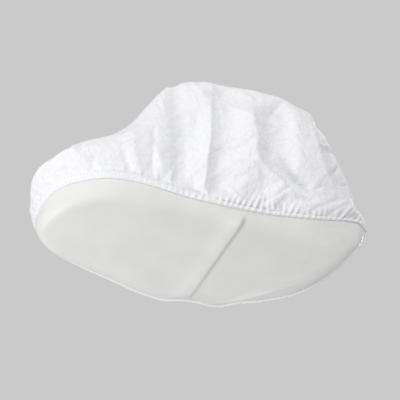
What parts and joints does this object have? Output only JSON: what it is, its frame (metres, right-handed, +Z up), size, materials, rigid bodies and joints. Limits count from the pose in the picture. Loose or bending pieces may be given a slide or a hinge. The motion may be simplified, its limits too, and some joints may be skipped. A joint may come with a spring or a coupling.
{
  "type": "cleanroom shoe cover",
  "caption": "Loose disposable cover worn over a shoe: smooth grey sole sheet, white nonwoven sides sewn on all round, gathered elastic ankle opening.",
  "frame": {"origin": "on the inner face of the sole at mid length, where the wearer's foot sits", "axes": "+X to the heel, -Y to the medial (big toe) side of a right foot, +Z up out of the ankle opening"},
  "size_m": [0.3452, 0.1911, 0.1718],
  "materials": {
    "sole_sheet": "smooth vinyl film, slightly satin",
    "side_cloth": "crinkled spun-bonded nonwoven",
    "seam_cloth": "rolled and sewn nonwoven",
    "hem_cloth": "nonwoven gathered over elastic"
  },
  "bodies": {
    "root": {"sole_panel": "sole_sheet", "medial_panel": "side_cloth", "lateral_panel": "side_cloth", "sole_seam": "seam_cloth", "front_seam": "seam_cloth", "back_seam": "seam_cloth", "ankle_hem": "hem_cloth"}
  },
  "joints": []
}
